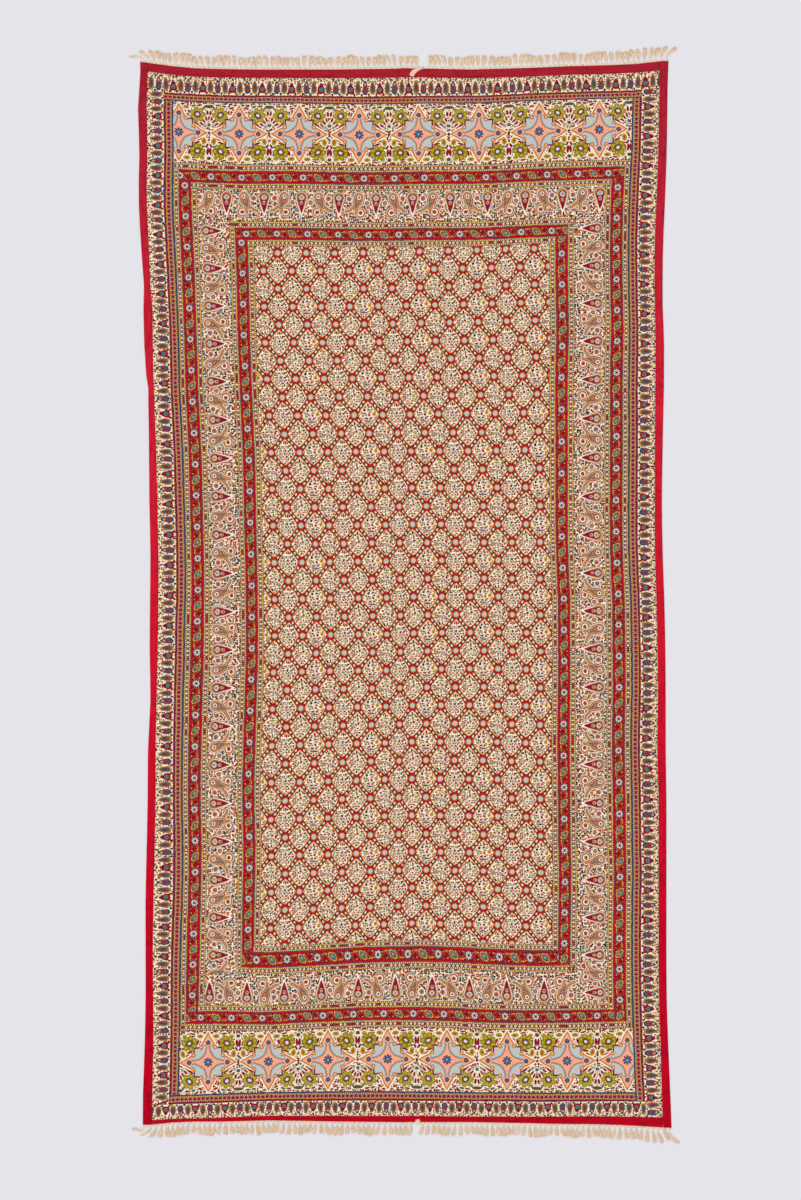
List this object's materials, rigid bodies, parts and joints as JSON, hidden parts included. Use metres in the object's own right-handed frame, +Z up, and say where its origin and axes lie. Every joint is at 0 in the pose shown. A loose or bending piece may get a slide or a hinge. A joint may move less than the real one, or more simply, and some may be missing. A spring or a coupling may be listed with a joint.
{
  "type": "kalamkari panel",
  "caption": "Long block-printed cotton panel lying flat, with a lattice field, framed borders, red edging and a fringe at both ends.",
  "frame": {"origin": "on the surface under the middle of the panel, fringes included", "axes": "+Y along the panel's length towards its top end, +X across it to the right as seen from above, +Z up out of the printed face"},
  "size_m": [1.5867, 3.1874, 0.0041],
  "materials": {
    "printed_cotton": "matt block-printed plain-weave cotton",
    "red_cotton": "matt plain dyed cotton",
    "fringe_cotton": "loose unbleached cotton yarn"
  },
  "bodies": {
    "root": {"printed_cloth": "printed_cotton", "edging_left": "red_cotton", "edging_right": "red_cotton", "edging_top": "red_cotton", "edging_bottom": "red_cotton", "fringe_top_left": "fringe_cotton", "fringe_top_right": "fringe_cotton", "fringe_bottom_left": "fringe_cotton", "fringe_bottom_right": "fringe_cotton"}
  },
  "joints": []
}
